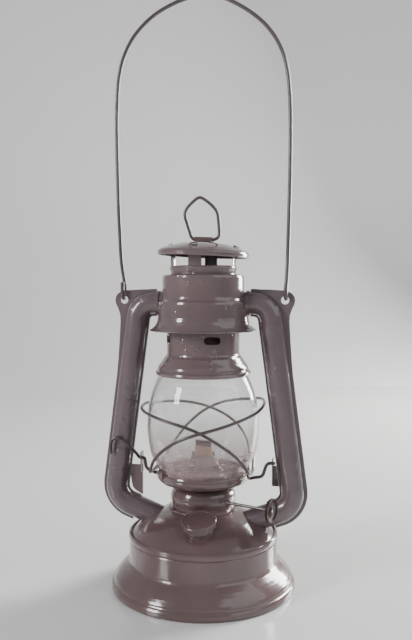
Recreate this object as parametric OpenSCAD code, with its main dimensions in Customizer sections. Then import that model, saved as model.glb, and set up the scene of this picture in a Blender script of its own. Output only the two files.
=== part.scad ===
// Tubular oil lamp: tank, two pressed air tubes, sliding globe carriage and chimney, wire bail.
// Millimetres. Origin on the floor under the middle of the tank, +Z up, -Y to the front.

/* [Tank] */
// Outer radius of the rolled foot
foot_r = 65; // [55:1:75]
// Outer radius of the tank wall
tank_r = 52.3; // [45:0.1:60]
// Height of the seam bead at the top of the tank wall
seam_z = 38.6; // [30:0.1:50]
// Height of the tank floor over the table
floor_z = 21.2; // [12:0.1:26]
// Sheet thickness of tank, tubes and hood
sheet = 0.7; // [0.4:0.1:1.2]

/* [Burner] */
// Outer radius of the burner neck
neck_r = 23.1; // [18:0.1:26]
// Height of the top of the burner neck
neck_top = 71.1; // [62:0.1:76]
// Width of the flat wick
wick_w = 12.8; // [8:0.1:16]
// Thickness of the flat wick
wick_t = 2.8; // [1.5:0.1:4]
// Height of the wick's burning edge
wick_top = 102.5; // [98:0.5:115]
// Direction of the wick shaft, degrees from +X
shaft_dir = -20.8; // [-45:0.1:0]
// Height of the wick shaft
shaft_z = 62.8; // [58:0.1:68]
// Distance from the lamp's axis to the wick shaft
shaft_off = 6.1; // [5:0.1:8]
// Distance of the knob from the lamp's axis
knob_s = 57; // [45:0.5:65]
// Radius of the wick knob
knob_r = 8.2; // [6:0.1:10]

/* [Side tubes] */
// Outer radius of a side tube
tube_r = 8.1; // [6:0.1:10]
// Height of the upper arms
arm_z = 200; // [190:0.5:210]
// Distance from the axis to the tube at the height of the upper arms
tube_x = 46.6; // [42:0.1:52]
// Outward lean of the tubes, degrees
lean = 7.44; // [0:0.01:12]
// Bend radius at the top
top_bend = 12; // [9:0.1:16]
// Bend radius at the bottom
low_bend = 15; // [11:0.1:20]
// Slope of the lower arms, degrees
low_slope = 21; // [0:0.1:35]
// Length of the straight part of a tube between its bend corners
tube_run = 142.6; // [120:0.1:160]
// Width of the outer seam flange
fin_out = 2.0; // [1:0.1:4]
// Width of the inner seam flange
fin_in = 1.2; // [0.5:0.1:3]
// Thickness of one seam flange
fin_t = 0.5; // [0.3:0.1:1]
// Distance from the axis to the bail holes
ear_x = 57.6; // [50:0.1:62]
// Height of the bail holes
ear_z = 202.2; // [195:0.1:206]
// Radius of the bail holes
ear_hole = 2.8; // [1.5:0.1:3]

/* [Globe carriage] */
// Radius of the saucer's lip
plate_r = 33.7; // [30:0.1:36]
// Glass thickness of the globe
glass = 1.8; // [1:0.1:3]
// Radius of the guard wire
guard_wire = 1.1; // [0.7:0.05:1.5]

/* [Lift lever] */
// Height of the lever's pivots
pivot_z = 88.2; // [84:0.1:94]
// Radius of the lever wire
lever_wire = 1.15; // [0.8:0.05:1.6]

/* [Chimney] */
// Outer radius of the slotted collar
collar_r = 25.7; // [23:0.1:27]
// Outer radius of the inner chimney tube
flue_r = 22.2; // [19:0.1:23]
// Radius of the cap
cap_r = 32.2; // [28:0.1:36]
// Tilt of the cap to the right, degrees
cap_tilt = 2.5; // [0:0.1:4]
// Turn of the vent straps, degrees
strap_turn = -94; // [-180:1:180]
// Turn of the collar slots, degrees
slot_turn = -65; // [-180:1:180]

/* [Filler] */
// Direction of the filler, degrees from +X
filler_dir = -83.8; // [-120:0.1:-60]
// Outward tilt of the filler, degrees
filler_tilt = 16; // [0:1:30]
// Direction of that tilt, degrees from +X
filler_lean = -102; // [-120:1:-60]
// Distance from the axis to the middle of the filler cap
filler_s = 37.5; // [30:0.5:42]
// Height of the top of the filler cap
filler_z = 57.5; // [50:0.5:62]
// Radius of the filler cap
filler_r = 12; // [9:0.1:14]

/* [Wires] */
// Radius of the bail wire
bail_wire = 1.3; // [0.8:0.05:1.6]
// Radius of the finger ring's wire
ring_wire = 1.1; // [0.7:0.05:1.4]
// Height of the finger ring's hinge
ring_z = 244.8; // [240:0.1:250]

/* [Hidden] */

$fn = 64;
paint = [0.42, 0.37, 0.34];
steel = [0.55, 0.53, 0.5];
brass = [0.72, 0.58, 0.33];
cotton = [0.85, 0.8, 0.7];
clear_glass = [0.8, 0.9, 0.92, 0.35];
cork = [0.5, 0.38, 0.26];

// ---- helpers: sheet metal from a profile line ----

function unit(v) = v / norm(v);
function tangent(p, i) = unit(p[min(i + 1, len(p) - 1)] - p[max(i - 1, 0)]);
function beside(p, i, t) = p[i] + t * [-tangent(p, i)[1], tangent(p, i)[0]];
// A closed outline that follows line p on one side and its offset by t on the other.
function skin(p, t) = concat(p, [for (i = [len(p) - 1:-1:0]) beside(p, i, t)]);
function arc(c, r, a0, a1, n = 5) =
    [for (i = [0:n]) c + r * [cos(a0 + (a1 - a0) * i / n), sin(a0 + (a1 - a0) * i / n)]];

module spun(p, t = sheet) rotate_extrude() polygon(skin(p, t));

// ---- helpers: wire along a line of points ----

function blend(a, b, c, d, t) = 0.5 * (2 * b + (c - a) * t + (2 * a - 5 * b + 4 * c - d) * t * t
                                       + (3 * b - a - 3 * c + d) * t * t * t);
function open_curve(p, n) = concat(
    [for (i = [0:len(p) - 2], k = [0:n - 1])
        blend(p[max(i - 1, 0)], p[i], p[i + 1], p[min(i + 2, len(p) - 1)], k / n)],
    [p[len(p) - 1]]);
function closed_curve(p, n) = let (m = len(p))
    [for (i = [0:m - 1], k = [0:n - 1])
        blend(p[(i + m - 1) % m], p[i], p[(i + 1) % m], p[(i + 2) % m], k / n)];
function across(v, t) = unit(v - t * (v * t));
function heading(p, i, loop) = let (m = len(p)) loop
    ? unit(p[(i + 1) % m] - p[(i + m - 1) % m]) : tangent(p, i);
// Normals carried along the wire without twist, for a wire with two ends.
function carried(p, n0) = let (m = len(p))
    [for (i = 0, n = across(n0, tangent(p, 0)); i < m;
          n = across(n, tangent(p, min(i + 1, m - 1))), i = i + 1) n];

module wire(p, normals, r, loop = false, sides = 10) {
    m = len(p);
    ring = [for (i = [0:m - 1]) let (t = heading(p, i, loop), n = across(normals[i], t),
            b = cross(t, n)) for (k = [0:sides - 1])
            p[i] + r * (cos(k * 360 / sides) * n + sin(k * 360 / sides) * b)];
    walls = [for (i = [0:loop ? m - 1 : m - 2], k = [0:sides - 1])
        let (a = i * sides, b = (i + 1) % m * sides, l = (k + 1) % sides)
        each [[a + k, b + k, b + l], [a + k, b + l, a + l]]];
    ends = loop ? [] : [[for (k = [0:sides - 1]) k],
                        [for (k = [sides - 1:-1:0]) (m - 1) * sides + k]];
    polyhedron(ring, concat(walls, ends), convexity = 8);
}

// ---- tank ----

foot_line = concat(
    [[foot_r - 3.9, 1.9], [foot_r - 3.4, 0.6], [foot_r - 2.4, 0], [foot_r - 1.3, 0]],
    arc([foot_r - 1.3, 1.3], 1.3, -60, 0, 3),
    [[foot_r, 2.6], [foot_r - 0.1, 3.8], [foot_r - 0.7, 5.1], [foot_r - 1.6, 5.8], [foot_r - 2, 6.5],
     [foot_r - 2.1, 7.6], [foot_r - 2.7, 8.9], [foot_r - 4, 10.7], [foot_r - 5.8, 12.8],
     [foot_r - 8, 15], [foot_r - 10.2, 16.9], [foot_r - 11.6, 18.1], [tank_r + 0.6, 18.8],
     [tank_r + 0.15, 19.5], [tank_r, 20.5], [tank_r, seam_z - 5], [tank_r - 0.25, seam_z - 4.4],
     [tank_r + 0.3, seam_z - 3.8], [tank_r + 0.6, seam_z - 2.8], [tank_r + 0.6, seam_z - 1],
     [tank_r + 0.3, seam_z - 0.1], [tank_r - 0.3, seam_z + 0.4], [tank_r - 1, seam_z + 0.5]]);

dome_line = [[tank_r - 0.9, seam_z - 0.6], [tank_r - 1.8, seam_z - 0.5], [tank_r - 2.6, seam_z + 0.3],
             [47.6, 40.9], [45, 43.2], [42, 45.3], [39, 47.2], [36, 49.1], [33, 50.8], [30, 52.4],
             [26, 54.3], [23.5, 55.3], [21.5, 56], [19.6, 56.3]];

module base_shell() color(paint) spun(foot_line);

module tank_floor() color(steel)
    spun([[tank_r - 0.85, floor_z - 1.4], [tank_r - 1, floor_z - 0.4], [tank_r - 1.8, floor_z + 0.1],
          [tank_r - 4, floor_z], [0, floor_z]], 0.6);

module tank_top() color(paint) difference() {
    spun(dome_line);
    for (s = [0, 180]) rotate([0, 0, s]) tube_core(tube_r + 0.02);
    at_filler() {
        cylinder(r = 8.62, h = 60, center = true);
        translate([0, 0, -7.7]) cylinder(r = 9.65, h = 9);
    }
}

module air_manifold() color(steel) difference() {
    rotate_extrude() difference() {
        translate([15, 38.5]) square([10.5, 9.5]);
        translate([15.5, 39]) square([9.5, 8.5]);
    }
    translate([0, 0, 43.2]) rotate([0, 90, 0]) cylinder(r = 3.6, h = 80, center = true);
}

// ---- burner ----

neck_line = [[neck_r + 1.5, 55.2], [neck_r + 1.5, 56.1], [neck_r + 0.5, 56.5], [neck_r - 0.6, 57],
             [neck_r - 0.9, 58.4], [neck_r - 0.5, 60], [neck_r - 0.1, 61.6], [neck_r, 63],
             [neck_r - 0.1, 64.8], [neck_r - 0.6, 66.6], [neck_r - 1.4, 68.2], [neck_r - 2.5, 69.6],
             [neck_r - 3.9, 70.7], [neck_r - 5.4, neck_top], [15.6, neck_top]];

module on_shaft(s = 0) rotate([0, 0, shaft_dir]) translate([s, -shaft_off, shaft_z])
    rotate([0, 90, 0]) children();

module stadium(w, t) {
    square([w - t, t], center = true);
    for (s = [-1, 1]) translate([s * (w - t) / 2, 0]) circle(r = t / 2);
}

module burner_neck() color(paint) difference() {
    union() {
        spun(neck_line);
        translate([0, 0, 58.2]) difference() {
            cylinder(r = neck_r - 1.2, h = 0.6);
            translate([0, 0, -1]) rotate([0, 0, shaft_dir]) linear_extrude(3)
                stadium(wick_w + 1.3, wick_t + 1.3);
        }
        for (a = [-140, 40]) rotate([0, 0, a]) translate([22.4, -1.8, 55.9]) cube([2.9, 3.6, 1.7]);
    }
    on_shaft(10) cylinder(r = 1.06, h = 20);
    for (s = [-3.4, 3.4]) on_shaft(s - 0.9) cylinder(r = 4.7, h = 1.8);
}

module wick_tube() color(brass) rotate([0, 0, shaft_dir]) difference() {
    translate([0, 0, 50]) linear_extrude(48.6) difference() {
        stadium(wick_w + 1.2, wick_t + 1.2);
        stadium(wick_w + 0.4, wick_t + 0.4);
    }
    for (s = [-3.4, 3.4])
        translate([s - 0.9, -6, shaft_z - 4.4]) cube([1.8, 6, 8.8]);
}

module wick_shaft() color(steel) on_shaft(-6.5) cylinder(r = 1, h = knob_s + 7.4);

module spur_wheels() color(brass) for (s = [-3.4, 3.4]) on_shaft(s - 0.5)
    linear_extrude(1) difference() {
        union() {
            circle(r = 3.2);
            for (k = [0:11]) rotate(k * 30)
                polygon([[2.9, -0.6], [4.3, -0.12], [4.3, 0.12], [2.9, 0.6]]);
        }
        circle(r = 1);
    }

module wick_knob() color(paint) on_shaft(knob_s) difference() {
    union() {
        rotate_extrude() polygon([[1, -1.6], [2.6, -1.6], [3, -0.9], [4.6, -0.6], [6.6, -0.6], [7.2, -1],
            [7.8, -1], [knob_r - 0.1, -0.6], [knob_r, 0], [knob_r - 0.1, 0.5], [7.7, 0.8], [7.1, 0.6],
            [6.4, 0.1], [4.8, 0.1], [3.2, 0.5], [2.2, 0.6], [2, 1], [1, 1]]);
    }
    for (k = [0:35]) rotate([0, 0, k * 10]) translate([knob_r + 0.25, 0, -2])
        cylinder(r = 0.4, h = 4, $fn = 13);
}

module wick() color(cotton) rotate([0, 0, shaft_dir]) translate([0, 0, 34])
    linear_extrude(wick_top - 34) stadium(wick_w, wick_t);

// ---- filler ----

module at_filler() rotate([0, 0, filler_dir]) translate([filler_s, 0, filler_z])
    rotate([0, 0, filler_lean - filler_dir]) rotate([0, filler_tilt, 0]) children();

module filler_neck() color(paint) at_filler() rotate_extrude()
    polygon([[8, -1.9], [8.7, -1.9], [8.7, -5.7], [9.4, -6], [9.6, -6.7], [9.3, -7.4], [8.6, -7.7],
             [8.6, -12], [8, -12]]);

module filler_gasket() color(cork) at_filler() translate([0, 0, -1.8]) cylinder(r = 8.6, h = 0.7);

module filler_cap() color(paint) at_filler() difference() {
    rotate_extrude() polygon([[0, -1.0], [8.8, -1.0], [8.8, -5.2], [10.8, -5.2], [11.1, -4.8], [11.3, -2],
        [filler_r - 0.2, -1.6], [filler_r, -1.2], [filler_r, -0.7], [filler_r - 0.4, -0.2],
        [filler_r - 1.2, 0], [10.2, -0.1], [9.8, -0.35], [8.6, -0.2], [0, 0]]);
    for (k = [0:43]) rotate([0, 0, k * 360 / 44]) {
        translate([filler_r + 0.2, 0, -2.5]) cylinder(r = 0.6, h = 3.2, $fn = 13);
        translate([11.4, 0, -5.4]) cylinder(r = 0.5, h = 3.6, $fn = 13);
    }
}

// ---- side tubes: one path through arm, bend, run, bend, arm ----

top_turn = 90 - lean;
low_turn = 90 + lean - low_slope;
top_cut = top_bend * tan(top_turn / 2);
low_cut = low_bend * tan(low_turn / 2);
arm_start = 27.6;

// A straight stretch of length l, then the children where it ends. It runs along +Z locally.
module straight(l) {
    linear_extrude(l) children(0);
    if ($children > 1) translate([0, 0, l]) children(1);
}
// A bend towards local -X.
module bend(r, a) {
    translate([-r, 0, 0]) rotate([90, 0, 0]) rotate_extrude(angle = a) translate([r, 0])
        mirror([0, 1]) children(0);
    translate([-r, 0, 0]) rotate([0, -a, 0]) translate([r, 0, 0]) children(1);
}

// Sweep along the right-hand tube: from the hood out, down, and in to the tank.
// children(0) is the section between the ends, children(1) the section at both ends.
// The section's +X side faces out of the lamp.
module tube_path() translate([arm_start, 0, arm_z]) rotate([0, 90, 0]) mirror([1, 0, 0])
    straight(6.1) {
        children(1);
        straight(tube_x - top_cut - arm_start - 6.1) {
            children(0);
            bend(top_bend, top_turn) {
                children(0);
                straight(tube_run - top_cut - low_cut) {
                    children(0);
                    bend(low_bend, low_turn) {
                        children(0);
                        straight(6) {
                            children(0);
                            straight(20) children(1);
                        }
                    }
                }
            }
        }
    }

module tube_core(r) tube_path() { circle(r = r); circle(r = r); }
module seam() tube_path() {
    translate([-tube_r - fin_in, -fin_t]) square([2 * tube_r + fin_in + fin_out, 2 * fin_t]);
    translate([-tube_r + 0.3, -fin_t]) square([2 * tube_r - 0.6, 2 * fin_t]);
}

module ear_plate() translate([0, fin_t, 0]) rotate([90, 0, 0]) linear_extrude(2 * fin_t)
    difference() {
        polygon([[33.7, 200], [33.7, 209.9], [46, 209.7], [ear_x + 0.8, 208.9], [60.4, 208],
                 [62.6, 206.6], [64, 204.6], [64.5, 202.2], [64.1, 199.6], [62.2, 195.6],
                 [60.9, 191.6], [60.7, 187], [61.3, 176], [62.4, 160], [63.8, 145], [54, 145],
                 [48, 190], [46, 200]]);
        translate([ear_x, ear_z]) circle(r = ear_hole);
    }

module side_tube(back) difference() {
    union() {
        tube_core(tube_r);
        seam();
        ear_plate();
    }
    tube_core(tube_r - sheet);
    translate([0, back ? -50 : 0, 0]) cube([100, 50, 250]);
}

module left_tube_front() color(paint) mirror([1, 0, 0]) side_tube(false);
module left_tube_back() color(paint) mirror([1, 0, 0]) side_tube(true);
module right_tube_front() color(paint) side_tube(false);
module right_tube_back() color(paint) side_tube(true);

// ---- hood ----

drum_line = [[37.8, 181.4], [36.2, 182.4], [34.6, 183.9], [33.3, 185.8], [32.4, 188], [32, 190.4],
             [31.9, 199.6], [31.5, 201], [30.6, 201.8], [29.6, 202.4], [29, 203.4], [28.8, 204.6],
             [28.8, 217.8], [28.4, 219.2], [27.4, 219.9], [26.2, 220.1], [24.1, 220.1]];

module drum() color(paint) difference() {
    union() {
        spun(drum_line);
        for (s = [0, 180]) rotate([0, 0, s]) translate([30.9, 0, arm_z]) rotate([0, 90, 0])
            cylinder(r = tube_r + 0.9, h = 2.4);
    }
    cylinder(r = 31.2, h = 201);
    translate([0, 0, 190]) cylinder(r = 28.1, h = 20);
    for (s = [0, 180]) rotate([0, 0, s]) translate([20, 0, arm_z]) rotate([0, 90, 0])
        cylinder(r = tube_r + 0.02, h = 20);
}

// ---- lift brackets ----

module lift_bracket(plate, tab_x, tab_low, tab_top) difference() {
    union() {
        translate([0, 0.3, 0]) rotate([90, 0, 0]) linear_extrude(0.8) polygon(plate);
        translate([tab_x, -3.2, tab_low]) cube([0.8, 6.2, tab_top - tab_low]);
    }
    translate([40, 0, pivot_z]) rotate([0, 90, 0]) cylinder(r = lever_wire + 0.08, h = 14);
}

module lift_bracket_left() color(paint) mirror([1, 0, 0])
    lift_bracket([[44.4, 61.4], [44.4, 83.2], [52.5, 83.2], [53.4, 75], [52.8, 70.4], [51.9, 66.5],
                  [49.9, 64.4], [47, 62.6]], 44.7, 78, 92.8);
module lift_bracket_right() color(paint)
    lift_bracket([[49.2, 72.2], [49.2, 86.6], [51.97, 86.6], [53.35, 76], [53.8, 72.2]], 49.2, 74, 92);

// ---- globe carriage ----

saucer_line = [[15.2, 73.1], [20.2, 72.4], [25.6, 72.9], [28.6, 73.7], [31, 75], [32.4, 76.6],
               [33, 78.2], [33.1, 79.6], [33.5, 80.4], [plate_r, 81.2], [33.3, 82],
               [32.6, 82.1]];

module globe_plate() color(paint) difference() {
    spun(saucer_line, 0.6);
    for (k = [0:19]) rotate([0, 0, k * 18]) {
        translate([18.2, 0, 60]) cylinder(r = 1, h = 20);
        rotate([0, 0, 9]) translate([24.6, 0, 60]) cylinder(r = 1.1, h = 20);
    }
}

cone_line = [[25.6, 73.9], [24.8, 75], [22.6, 76.2], [19.4, 78], [16.2, 80.4], [13.4, 83.4], [11, 87],
             [9.2, 90.6], [8.6, 92.4], [8.4, 93.4]];

module burner_cone() color(paint) difference() {
    spun(cone_line, 0.5);
    for (k = [0:3]) rotate([0, 0, -27 + k * 90]) translate([8, -2.4, 81.6]) cube([8, 4.8, 7.6]);
}

module globe_clips() color(paint) for (a = [-138, 31]) rotate([0, 0, a])
    translate([33.95, 0, 79.4]) rotate([90, 0, 90]) linear_extrude(0.6) difference() {
        polygon([[-2.6, 0], [2.6, 0], [2.6, 4.6], [1.4, 7], [-1.4, 7], [-2.6, 4.6]]);
        translate([0, 4]) circle(r = 0.9);
    }

globe_line = [[29.6, 75.9], [30.2, 78], [30.6, 80.6], [31.3, 83.4], [32.6, 86.4], [34.6, 89.4],
              [36.6, 92.8], [38.2, 97.4], [39.2, 103], [39.8, 109], [39.9, 114], [39.5, 120.6],
              [38.7, 127.4], [37.5, 133.7], [35.9, 139.6], [34.1, 144.4], [32.5, 147.7],
              [31.4, 149.9], [31.1, 151.6], [30.9, 153.2]];

module globe() color(clear_glass) spun(globe_line, glass);

// Radius of a guard loop by its turn from the high end.
guard_reach = [[0, 43.3], [15, 43.4], [30, 43.6], [45, 43.7], [60, 43.4], [75, 42.6], [90, 41.9],
               [105, 41.8], [120, 41.5], [135, 40.7], [148, 38.6], [160, 36.4], [170, 35.4], [180, 35.1]];
// Height of each loop by the same turn, round the front and round the back.
front_a = [[0, 129.6], [12, 128.2], [33, 125.3], [45, 123.6], [55, 121.8], [67, 119.2], [80, 116.6],
           [92, 113.6], [102, 110.2], [112, 105.6], [122, 99.8], [132, 93.6], [139, 88.4], [144, 84.8],
           [150, 82.6], [158, 81.7], [168, 81.4], [180, 81.3]];
back_a = [[0, 129.6], [14, 130.4], [26, 130.5], [40, 129.6], [54, 127.9], [66, 126.2], [75, 124.7],
          [86, 122.2], [95, 119], [105, 114.4], [116, 107.4], [125, 100.8], [134, 94.4], [144, 88.4],
          [154, 84], [164, 82], [180, 81.3]];
front_b = [[0, 127.2], [20, 126.6], [45, 125.1], [57, 123.7], [70, 121.9], [86, 119.1], [98, 115.7],
           [108, 111.4], [117, 106.9], [129, 101], [138, 95.6], [147, 90.2], [153, 86.4], [159, 83.6],
           [168, 81.8], [180, 81.3]];
back_b = [[0, 127.2], [15, 127], [30, 126.3], [53, 124.9], [69, 123], [79, 121.3], [88, 119.2],
          [101, 115.7], [115, 110.3], [125, 105.4], [134, 100.4], [144, 94.2], [154, 88], [164, 83.6],
          [172, 81.9], [180, 81.3]];

module guard_loop(side, out, front, back) {
    line = closed_curve([for (a = [0:12:348]) let (turn = a > 180 ? 360 - a : a,
        r = lookup(turn, guard_reach) + out * pow(sin(a), 2))
        [side * r * cos(a), r * sin(a), lookup(turn, a > 180 ? front : back)]], 2);
    wire(line, [for (p = line) [p[0], p[1], 0]], guard_wire, true);
}

module guard_wire_a() color(paint) guard_loop(1, 2.95, front_a, back_a);
module guard_wire_b() color(paint) guard_loop(-1, 0, front_b, back_b);

// ---- lift lever: one bent wire ----

crank_points = [[51.1, 0, pivot_z], [50.2, 0, pivot_z], [49, 0, pivot_z], [47.4, 0, pivot_z],
    [45.3, 0, 87.1], [43.9, 0, 83.6], [42.7, 0, 80], [40.6, 0, 78.3], [37.4, 0.2, 77.7],
    [34.6, 1.8, 76.6], [32, 7, 74.9], [28.4, 14, 73.2], [21.6, 21.6, 72.2], [11.6, 27, 71.7],
    [0, 29, 71.5], [-11.6, 27, 71.7], [-21.6, 21.6, 72.2], [-28.4, 14, 73.2], [-32, 7, 74.9],
    [-34.8, 1.8, 77], [-37.6, 0.2, 78.8], [-40.4, 0, 79.8], [-42.2, 0, 82], [-42.6, 0, 85.2],
    [-43.1, 0, 87.6], [-44.3, 0, pivot_z], [-45.6, 0, pivot_z], [-46.8, 0, pivot_z],
    [-47.8, -1.2, 89.8], [-49.1, -4, 93], [-51.7, -8.2, 97.6], [-55.2, -10.5, 101.2],
    [-58.8, -10.9, 103.6], [-61.4, -10.9, 104], [-63.9, -10.7, 102.8], [-65.4, -10.4, 100],
    [-65.7, -10.1, 96.4], [-65.3, -9.8, 92.4]];

module lift_crank() color(paint) {
    line = open_curve(crank_points, 3);
    wire(line, carried(line, [0, 1, 0]), lever_wire);
}

// ---- chimney ----

skirt_line = [[32.9, 149.9], [33.5, 150.5], [33.8, 151.5], [33.5, 152.5], [32.7, 153.2], [32.1, 154],
              [32, 155], [31.7, 156.1], [30.8, 157.4], [29.6, 158.9], [28.4, 160.6], [27.4, 162.2],
              [26.6, 163.1], [26, 163.8], [collar_r, 165], [collar_r, 195.4], [25.2, 196.8],
              [24.2, 197.6]];

module chimney_skirt() color(paint) difference() {
    spun(skirt_line, 0.6);
    for (k = [0:3]) rotate([0, 0, slot_turn + k * 90]) translate([20, 0, 175]) rotate([90, 0, 90])
        linear_extrude(10) stadium(11.6, 5.2);
}

module chimney_tube() color(paint) spun([[24.1, 198.3], [22.8, 198.6], [flue_r, 199.4],
    [flue_r, 220.4]], 0.6);

module strap_spots() for (k = [0:3]) rotate([0, 0, strap_turn + k * 90]) children();

// Straps of width w up to height top, measured square to the tilted cap.
module straps(w, top) intersection() {
    rotate_extrude() translate([22.2, 224.8]) square([0.7, 20]);
    strap_spots() translate([15, -w / 2, 220]) cube([12, w, 30]);
    tilted() translate([0, 0, 200]) cylinder(r = 40, h = top - 200);
}

module vent_cage() color(paint) {
    spun([[22.85, 218.6], [22.85, 220.6], [23, 221.6], [23.2, 222.6], [23.5, 223.6], [23.7, 224.6],
          [23.5, 225.6], [22.9, 226.1]], 0.6);
    straps(9.2, 239);
    straps(3.8, 241.4);
    tilted() strap_spots() translate([22.3, -1.9, 240.5]) rotate([0, 18, 0]) cube([3.2, 3.8, 0.7]);
}

module tilted() translate([0, 0, 236]) rotate([0, cap_tilt, 0]) translate([0, 0, -236]) children();

cap_line = [[cap_r - 0.5, 232.6], [cap_r, 233.4], [cap_r, 235.2], [cap_r - 0.4, 236.2],
            [cap_r - 1.4, 237], [cap_r - 3, 237.7], [27, 238.7], [23.6, 239.8], [20, 240.9],
            [14, 242.1], [8, 242.8], [3, 243], [0, 243]];

module cap() color(paint) difference() {
    tilted() spun(cap_line, 0.6);
    strap_spots() translate([22.1, -2, 234]) cube([0.9, 4, 12]);
}

module ring_strap() color(paint) tilted() {
    translate([-6.6, 0, ring_z]) rotate([90, 0, 90]) linear_extrude(12.8) {
        difference() {
            circle(r = ring_wire + 0.7);
            circle(r = ring_wire + 0.06);
            translate([-5, -10]) square([10, 10]);
        }
        for (s = [-1, 1]) {
            translate([s > 0 ? ring_wire + 0.06 : -ring_wire - 0.7, -1.6]) square([0.64, 1.6]);
            translate([s > 0 ? ring_wire + 0.06 : -6.2, -1.7]) square([6.2 - ring_wire - 0.06, 0.6]);
        }
    }
    for (s = [-1, 1]) translate([0, s * 4.2, ring_z - 1.3]) cylinder(r = 1.1, h = 0.9);
}

ring_points = [[-7.3, 0], [-6.7, 0], [0, 0], [6.3, 0], [6.9, 0], [9.6, 1.2], [10.8, 4], [10.4, 9.6],
               [9.6, 15.4], [8.6, 19.2], [5.4, 23.2], [0.6, 26.9], [-4.2, 29.2], [-8.4, 26.4],
               [-12.4, 22.2], [-14.2, 18.6], [-14, 15], [-12.2, 10], [-10.2, 4.6], [-9, 1.4]];

module finger_ring() color(paint) tilted() {
    line = closed_curve([for (p = ring_points) [p[0], 0, ring_z + p[1]]], 3);
    wire(line, [for (p = line) [0, 1, 0]], ring_wire, true);
}

// ---- bail: hooks pass through the ears and round the sheet above the holes ----

hook_z = (ear_z + ear_hole + 208.8) / 2;
hook_r = 3.8;

// One hook as seen along X: s = 1 leaves the long leg behind the ear, s = -1 in front.
function hook(x, s) = concat(
    [[x, -s * hook_r, hook_z + 8], [x, -s * hook_r, hook_z + 3.5]],
    [for (a = [180:30:360]) [x, s * hook_r * cos(a), hook_z + hook_r * sin(a)]],
    [[x * 1.002, s * hook_r, hook_z + 4], [x * 1.01, s * hook_r * 0.6, hook_z + 10]]);

bail_points = concat(hook(-ear_x - 0.5, 1),
    [[-59.8, 0, 229], [-60.8, 0, 246], [-61.8, 0, 268], [-62.5, 0, 296], [-63, 0, 326], [-62.2, 0, 350],
     [-60.7, 0, 362.5], [-57.8, 0, 373.5], [-51.8, 0, 385.4], [-44.6, 0, 394], [-35.4, 0, 401.6],
     [-25, 0, 407.2], [-13, 0, 411.5], [0, 0, 413.2], [12.6, 0, 410.9], [24.8, 0, 404.8],
     [36.8, 0, 396.3], [45.8, 0, 387.2], [52.6, 0, 376.6], [57.2, 0, 364], [59.6, 0, 348],
     [60.6, 0, 324], [60.5, 0, 296], [60, 0, 268], [59.5, 0, 246], [59.1, 0, 229]],
    [for (i = [10:-1:0]) hook(ear_x + 0.5, -1)[i]]);

module bail() color(paint) {
    line = open_curve(bail_points, 3);
    wire(line, carried(line, [1, 0, 0]), bail_wire);
}

base_shell();
tank_floor();
tank_top();
filler_neck();
air_manifold();
burner_neck();
wick_tube();
lift_bracket_left();
lift_bracket_right();
left_tube_front();
left_tube_back();
right_tube_front();
right_tube_back();
drum();
globe_plate();
burner_cone();
globe_clips();
globe();
guard_wire_a();
guard_wire_b();
lift_crank();
chimney_skirt();
chimney_tube();
vent_cage();
cap();
ring_strap();
finger_ring();
bail();
wick_shaft();
spur_wheels();
wick_knob();
wick();
filler_cap();
filler_gasket();
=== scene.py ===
import math

import bpy
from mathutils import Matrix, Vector

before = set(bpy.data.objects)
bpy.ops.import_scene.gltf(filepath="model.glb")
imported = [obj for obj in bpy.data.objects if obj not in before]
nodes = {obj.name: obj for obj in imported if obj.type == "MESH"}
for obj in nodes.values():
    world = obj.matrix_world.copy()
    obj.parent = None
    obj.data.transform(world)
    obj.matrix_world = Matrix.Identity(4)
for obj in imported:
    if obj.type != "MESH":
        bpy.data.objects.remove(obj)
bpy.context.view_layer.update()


# ---------------------------------------------------------------- materials

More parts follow.
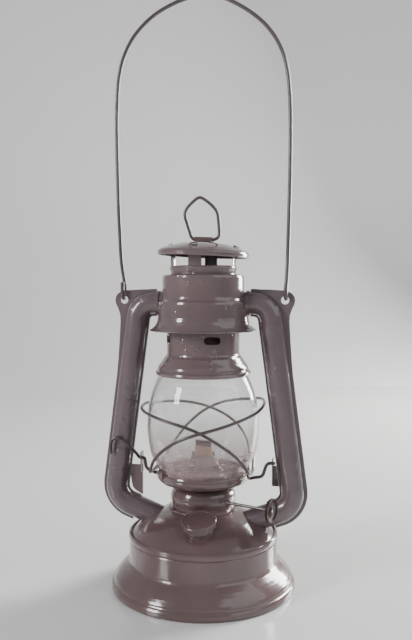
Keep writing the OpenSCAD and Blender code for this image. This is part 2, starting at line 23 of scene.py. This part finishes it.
class Graph:
    """A material and short ways to add and join its nodes."""

    def __init__(self, name):
        self.material = bpy.data.materials.new(name)
        self.material.use_nodes = True
        self.tree = self.material.node_tree
        self.tree.nodes.clear()
        self.out = self.node("OutputMaterial")
        self.where = self.node("TexCoord").outputs["Object"]

    def node(self, kind, **values):
        made = self.tree.nodes.new("ShaderNode" + kind)
        for key, value in values.items():
            if hasattr(made, key):
                setattr(made, key, value)
            else:
                made.inputs[key.replace("_", " ")].default_value = value
        return made

    def join(self, a, b):
        self.tree.links.new(a, b)

    def noise(self, scale, detail, rough):
        n = self.node("TexNoise")
        n.inputs["Scale"].default_value = scale
        n.inputs["Detail"].default_value = detail
        n.inputs["Roughness"].default_value = rough
        self.join(self.where, n.inputs["Vector"])
        return n.outputs["Fac"]

    def ramp(self, source, stops):
        r = self.node("ValToRGB")
        while len(r.color_ramp.elements) < len(stops):
            r.color_ramp.elements.new(0.5)
        for element, (place, colour) in zip(r.color_ramp.elements, stops):
            element.position = place
            element.color = (*colour, 1.0)
        self.join(source, r.inputs["Fac"])
        return r.outputs["Color"]

    def level(self, source, low, high, to_low=0.0, to_high=1.0):
        m = self.node("MapRange")
        for key, value in (("From Min", low), ("From Max", high),
                           ("To Min", to_low), ("To Max", to_high)):
            m.inputs[key].default_value = value
        self.join(source, m.inputs["Value"])
        return m.outputs["Result"]

    def combine(self, a, b, operation="ADD"):
        """A with b, which is a socket or a number."""
        m = self.node("Math", operation=operation)
        self.join(a, m.inputs[0])
        if isinstance(b, (int, float)):
            m.inputs[1].default_value = b
        else:
            self.join(b, m.inputs[1])
        return m.outputs[0]

    def mix(self, amount, a, b, blend="MIX"):
        m = self.node("Mix", data_type="RGBA", blend_type=blend)
        sockets = [s for s in m.inputs if s.type == "RGBA"]
        for value, socket in ((a, sockets[0]), (b, sockets[1])):
            if isinstance(value, tuple):
                socket.default_value = (*value, 1.0)
            else:
                self.join(value, socket)
        if isinstance(amount, (int, float)):
            m.inputs[0].default_value = amount
        else:
            self.join(amount, m.inputs[0])
        return next(s for s in m.outputs if s.type == "RGBA")

    def bump(self, height, distance, after=None):
        b = self.node("Bump")
        b.inputs["Distance"].default_value = distance
        b.inputs["Strength"].default_value = 1.0
        self.join(height, b.inputs["Height"])
        if after is not None:
            self.join(after, b.inputs["Normal"])
        return b.outputs["Normal"]

    def shader(self, **values):
        s = self.node("BsdfPrincipled")
        for key, value in values.items():
            s.inputs[key.replace("_", " ")].default_value = value
        return s

    def surface(self, **values):
        s = self.shader(**values)
        self.join(s.outputs[0], self.out.inputs["Surface"])
        return s


DUST = (0.24, 0.19, 0.17)
RUBBED = (0.17, 0.12, 0.11)


def enamel(name, tint=(0.121, 0.076, 0.075), rough=0.16, peel=1.0, drips=0.0, wear=0.3,
           shine=0.5):
    """Sprayed gloss paint on sheet metal.

    peel sets the orange peel and soft dents, drips the runs, wear the dust and rubbed spots,
    shine the clear gloss on top.
    """
    g = Graph(name)
    s = g.surface(Metallic=0.0, IOR=1.5, Coat_Weight=shine, Coat_Roughness=0.04,
                  Specular_IOR_Level=min(0.5, shine + 0.1))
    cloud = g.noise(22, 5, 0.6)
    dark, light = tuple(c * 0.86 for c in tint), tuple(c * 1.16 for c in tint)
    colour = g.ramp(cloud, [(0.3, dark), (0.7, light)])
    speck = g.level(g.noise(1400, 2, 0.5), 0.66, 0.74)
    colour = g.mix(g.combine(speck, 0.25 * wear, "MULTIPLY"), colour, DUST)
    rub = g.level(g.noise(95, 8, 0.72), 0.63, 0.72)
    colour = g.mix(g.combine(rub, 0.35 * wear, "MULTIPLY"), colour, RUBBED)
    g.join(colour, s.inputs["Base Color"])
    haze = g.level(g.noise(48, 6, 0.65), 0.3, 0.75, rough * 0.75, rough * 1.6)
    g.join(haze, s.inputs["Roughness"])
    soft = g.bump(g.noise(45, 2, 0.4), 0.00045 * peel)
    fine = g.bump(g.noise(330, 3, 0.5), 0.00006 * peel, after=soft)
    if drips:
        blobs = g.node("TexVoronoi", feature="SMOOTH_F1")
        blobs.inputs["Scale"].default_value = 210
        g.join(g.where, blobs.inputs["Vector"])
        bead = g.level(blobs.outputs["Distance"], 0.12, 0.3, 1.0, 0.0)
        patch = g.level(g.noise(30, 3, 0.5), 0.52, 0.62)
        fine = g.bump(g.combine(bead, patch, "MULTIPLY"), 0.00028 * drips, after=fine)
    g.join(fine, s.inputs["Normal"])
    g.join(fine, s.inputs["Coat Normal"])
    return g.material


def bare_metal(name, colour, rough=0.35, stain=(0.12, 0.08, 0.05), amount=0.5):
    g = Graph(name)
    s = g.surface(Metallic=1.0, Roughness=rough)
    patina = g.level(g.noise(160, 8, 0.7), 0.45, 0.7)
    g.join(g.mix(g.combine(patina, amount, "MULTIPLY"), colour, stain), s.inputs["Base Color"])
    grain = g.level(g.noise(700, 4, 0.6), 0.3, 0.7, rough * 0.8, rough * 1.5)
    g.join(grain, s.inputs["Roughness"])
    g.join(g.bump(g.noise(900, 4, 0.6), 0.00003), s.inputs["Normal"])
    return g.material


DUST_TOP = 0.118        # height where the globe's dust begins, metres
DUST_FULL = 0.084       # height below which it is at its thickest
DUST_RAGGED = 0.012     # how far its edge wanders up and down


def globe_glass(name):
    """Clear blown glass with faint waves, and dust that thickens towards the burner."""
    g = Graph(name)
    glass = g.shader(Base_Color=(0.975, 0.99, 0.99, 1), Roughness=0.0, IOR=1.47,
                     Transmission_Weight=1.0)
    g.join(g.bump(g.noise(34, 2, 0.4), 0.0003), glass.inputs["Normal"])
    dust = g.shader(Base_Color=(0.62, 0.47, 0.46, 1), Roughness=0.9,
                    Transmission_Weight=0.0, Alpha=1.0)
    axis = g.node("SeparateXYZ")
    g.join(g.where, axis.inputs[0])
    ragged = g.level(g.noise(28, 3, 0.5), 0.0, 1.0, -DUST_RAGGED, DUST_RAGGED)
    low = g.level(g.combine(axis.outputs["Z"], ragged), DUST_TOP, DUST_FULL)
    cloud = g.level(g.noise(60, 6, 0.6), 0.3, 0.75, 0.24, 0.46)
    film = g.level(g.noise(420, 3, 0.6), 0.5, 0.8, 0.06, 0.14)
    amount = g.combine(g.combine(low, cloud, "MULTIPLY"), film)
    mixed = g.node("MixShader")
    g.join(amount, mixed.inputs[0])
    g.join(glass.outputs[0], mixed.inputs[1])
    g.join(dust.outputs[0], mixed.inputs[2])
    g.join(mixed.outputs[0], g.out.inputs["Surface"])
    return g.material


CHAR_START = 0.0970     # height where the wick begins to be charred, metres
CHAR_FULL = 0.0995      # height above which it is black
CHAR_RAGGED = 0.0015


def cotton(name):
    """Flat woven wick: crossed threads, charred over its top few millimetres."""
    g = Graph(name)
    s = g.surface(Roughness=0.95)
    axis = g.node("SeparateXYZ")
    g.join(g.where, axis.inputs[0])
    ragged = g.level(g.noise(500, 4, 0.6), 0.0, 1.0, -CHAR_RAGGED, CHAR_RAGGED)
    char = g.level(g.combine(axis.outputs["Z"], ragged), CHAR_START, CHAR_FULL)
    wave = g.node("TexWave", wave_type="BANDS", bands_direction="Z")
    wave.inputs["Scale"].default_value = 260
    wave.inputs["Distortion"].default_value = 1.2
    g.join(g.where, wave.inputs["Vector"])
    thread = g.ramp(wave.outputs["Fac"], [(0.2, (0.34, 0.22, 0.15)), (0.8, (0.66, 0.46, 0.33))])
    g.join(g.mix(char, thread, (0.06, 0.036, 0.03)), s.inputs["Base Color"])
    g.join(g.bump(wave.outputs["Fac"], 0.0002), s.inputs["Normal"])
    return g.material


def cork(name):
    g = Graph(name)
    s = g.surface(Roughness=0.9)
    grain = g.noise(800, 6, 0.7)
    bark = g.ramp(grain, [(0.35, (0.16, 0.09, 0.05)), (0.7, (0.5, 0.34, 0.2))])
    g.join(bark, s.inputs["Base Color"])
    g.join(g.bump(grain, 0.0002), s.inputs["Normal"])
    return g.material


paint = enamel("taupe_enamel")
paint_knurl = enamel("taupe_enamel_knurl", tint=(0.120, 0.079, 0.077), rough=0.2, wear=0.8,
                     peel=0.4)
# The knob's tint is about a third of the tank paint's: painted shade, darkened to stand in for the
# shade that falls on its face.
paint_knob_painted_shade = enamel("taupe_enamel_knob_painted_shade", tint=(0.040, 0.024, 0.024), rough=0.4, wear=0.5,
                    peel=0.4, shine=0.0)
paint_hood = enamel("taupe_enamel_hood", tint=(0.140, 0.096, 0.100), rough=0.14, drips=1.2)
paint_tube = enamel("taupe_enamel_tube", tint=(0.125, 0.090, 0.100), rough=0.2, drips=0.8, peel=1.4)
paint_wire = enamel("taupe_enamel_wire", tint=(0.066, 0.046, 0.05), rough=0.28, wear=1.0)
tin = bare_metal("tinned_steel", (0.5, 0.48, 0.45), amount=0.4)
brass = bare_metal("dull_brass", (0.62, 0.4, 0.2), 0.42, (0.18, 0.1, 0.06), 0.6)
glass = globe_glass("blown_glass")
wick_cloth = cotton("woven_wick")
cork_stuff = cork("cork")

# Every node that isn't listed has the tank's paint.
FINISH = {
    "left_tube_front": paint_tube, "left_tube_back": paint_tube,
    "right_tube_front": paint_tube, "right_tube_back": paint_tube,
    "drum": paint_hood, "chimney_skirt": paint_hood, "cap": paint_hood, "vent_cage": paint_hood,
    "guard_wire_a": paint_wire, "guard_wire_b": paint_wire, "lift_crank": paint_wire,
    "bail": paint_wire, "finger_ring": paint_wire, "wick_shaft": paint_wire,
    "wick_knob": paint_knob_painted_shade, "filler_cap": paint_knurl,
    "tank_floor": tin, "air_manifold": tin, "spur_wheels": brass, "wick_tube": brass,
    "globe": glass, "wick": wick_cloth, "filler_gasket": cork_stuff,
}
for name, node in nodes.items():
    node.data.materials.clear()
    node.data.materials.append(FINISH.get(name, paint))


# ---------------------------------------------------------------- round wires

def round_off(node, grow):
    """Geometry modifier that turns a faceted wire into a smooth round one.

    Subdivision pulls the surface in, and grow pushes it out again, in metres.
    """
    tree = bpy.data.node_groups.new("round_" + node.name, "GeometryNodeTree")
    tree.interface.new_socket("Geometry", in_out="INPUT", socket_type="NodeSocketGeometry")
    tree.interface.new_socket("Geometry", in_out="OUTPUT", socket_type="NodeSocketGeometry")
    chain = [tree.nodes.new(kind) for kind in (
        "NodeGroupInput", "GeometryNodeMergeByDistance", "GeometryNodeSubdivisionSurface",
        "GeometryNodeSetPosition", "GeometryNodeSetShadeSmooth", "NodeGroupOutput")]
    for first, second in zip(chain, chain[1:]):
        tree.links.new(first.outputs[0], second.inputs[0])
    merge, smooth, place = chain[1:4]
    merge.inputs["Distance"].default_value = 1e-5
    smooth.inputs["Level"].default_value = 2
    push = tree.nodes.new("ShaderNodeVectorMath")
    push.operation = "SCALE"
    push.inputs["Scale"].default_value = grow
    tree.links.new(tree.nodes.new("GeometryNodeInputNormal").outputs[0], push.inputs[0])
    tree.links.new(push.outputs[0], place.inputs["Offset"])
    node.modifiers.new("round", "NODES").node_group = tree


for name, grow in (("guard_wire_a", 0.00004), ("guard_wire_b", 0.00004), ("lift_crank", 0.00012),
                   ("finger_ring", 0.00012), ("bail", 0.00013)):
    round_off(nodes[name], grow)


# ---------------------------------------------------------------- stage

VIEW_TURN = math.radians(11)      # the camera stands this far round to the right of the front
CAMERA_AWAY = 0.5076
CAMERA_HIGH = 0.2109
CAMERA_DOWN = math.radians(2.57)
CAMERA_SHIFT = 0.0043             # the lamp stands a little left of the middle
LIGHT_AIM = Vector((0, 0, 0.13))
FLOOR_REACH = 0.9                 # where the floor begins to curve up, behind the lamp
FLOOR_BEND = 0.5
FLOOR_WIDE = 2.4


def around(turn, away, high):
    """A point at a turn from the camera's own direction, in degrees to its right."""
    a = VIEW_TURN + math.radians(turn)
    return Vector((away * math.sin(a), -away * math.cos(a), high))


def softbox(name, turn, away, high, wide, tall, power, tint):
    """A rectangular area light that faces the middle of the lamp."""
    light = bpy.data.lights.new(name, "AREA")
    light.shape, light.size, light.size_y = "RECTANGLE", wide, tall
    light.energy, light.color = power, tint
    lamp = bpy.data.objects.new(name, light)
    lamp.location = around(turn, away, high)
    lamp.rotation_mode = "QUATERNION"
    lamp.rotation_quaternion = (LIGHT_AIM - lamp.location).to_track_quat("-Z", "Y")
    bpy.context.scene.collection.objects.link(lamp)


def sweep_floor():
    """Pale floor that curves up into a pale backdrop behind the lamp."""
    line = [(-1.6, 0.0), (FLOOR_REACH, 0.0)]
    line += [(FLOOR_REACH + FLOOR_BEND * math.sin(a), FLOOR_BEND - FLOOR_BEND * math.cos(a))
             for a in (math.radians(9 * k) for k in range(1, 11))]
    line += [(FLOOR_REACH + FLOOR_BEND, 2.6)]
    turn = Vector((math.cos(VIEW_TURN), math.sin(VIEW_TURN), 0))
    deep = Vector((-math.sin(VIEW_TURN), math.cos(VIEW_TURN), 0))
    verts = [turn * side + deep * d + Vector((0, 0, h))
             for side in (-FLOOR_WIDE, FLOOR_WIDE) for d, h in line]
    n = len(line)
    faces = [(k, k + n, k + n + 1, k + 1) for k in range(n - 1)]
    mesh = bpy.data.meshes.new("floor")
    mesh.from_pydata([tuple(v) for v in verts], [], faces)
    mesh.polygons.foreach_set("use_smooth", [True] * len(mesh.polygons))
    floor = bpy.data.objects.new("floor", mesh)
    bpy.context.scene.collection.objects.link(floor)
    # The flat part is glossy, the curve and the wall are matt.
    for name, rough in (("pale_floor", 0.16), ("pale_wall", 0.8)):
        g = Graph(name)
        g.surface(Base_Color=(0.72, 0.72, 0.71, 1), Roughness=rough, IOR=1.5)
        mesh.materials.append(g.material)
    for face in mesh.polygons:
        face.material_index = int(abs(face.normal.z) < 0.995)


sweep_floor()
# Name, turn, distance, height, width, tallness, watts, colour. The left window has two panes.
softbox("window_left_a", -63.5, 1.5, 0.72, 0.12, 0.62, 9, (1.0, 0.97, 0.97))
softbox("window_left_b", -57.5, 1.5, 0.72, 0.12, 0.62, 9, (1.0, 0.97, 0.97))
softbox("window_right", 127, 1.1, 0.5, 0.38, 0.75, 34, (1.0, 0.985, 0.97))
softbox("sky_right", 62, 2.2, 1.7, 2.6, 2.2, 22, (0.97, 0.98, 1.0))

world = bpy.data.worlds.new("studio")
world.use_nodes = True
sky = world.node_tree.nodes["Background"]
sky.inputs["Color"].default_value = (0.82, 0.87, 0.9, 1)
sky.inputs["Strength"].default_value = 0.42
bpy.context.scene.world = world

camera = bpy.data.objects.new("camera", bpy.data.cameras.new("camera"))
camera.data.sensor_width = 36
camera.data.lens = 40.5
camera.data.shift_x = CAMERA_SHIFT
camera.data.clip_start = 0.01
camera.location = around(0, CAMERA_AWAY, CAMERA_HIGH)
ahead = Vector((-math.sin(VIEW_TURN) * math.cos(CAMERA_DOWN),
                math.cos(VIEW_TURN) * math.cos(CAMERA_DOWN), -math.sin(CAMERA_DOWN)))
camera.rotation_mode = "QUATERNION"
camera.rotation_quaternion = ahead.to_track_quat("-Z", "Y")
bpy.context.scene.collection.objects.link(camera)
bpy.context.scene.camera = camera
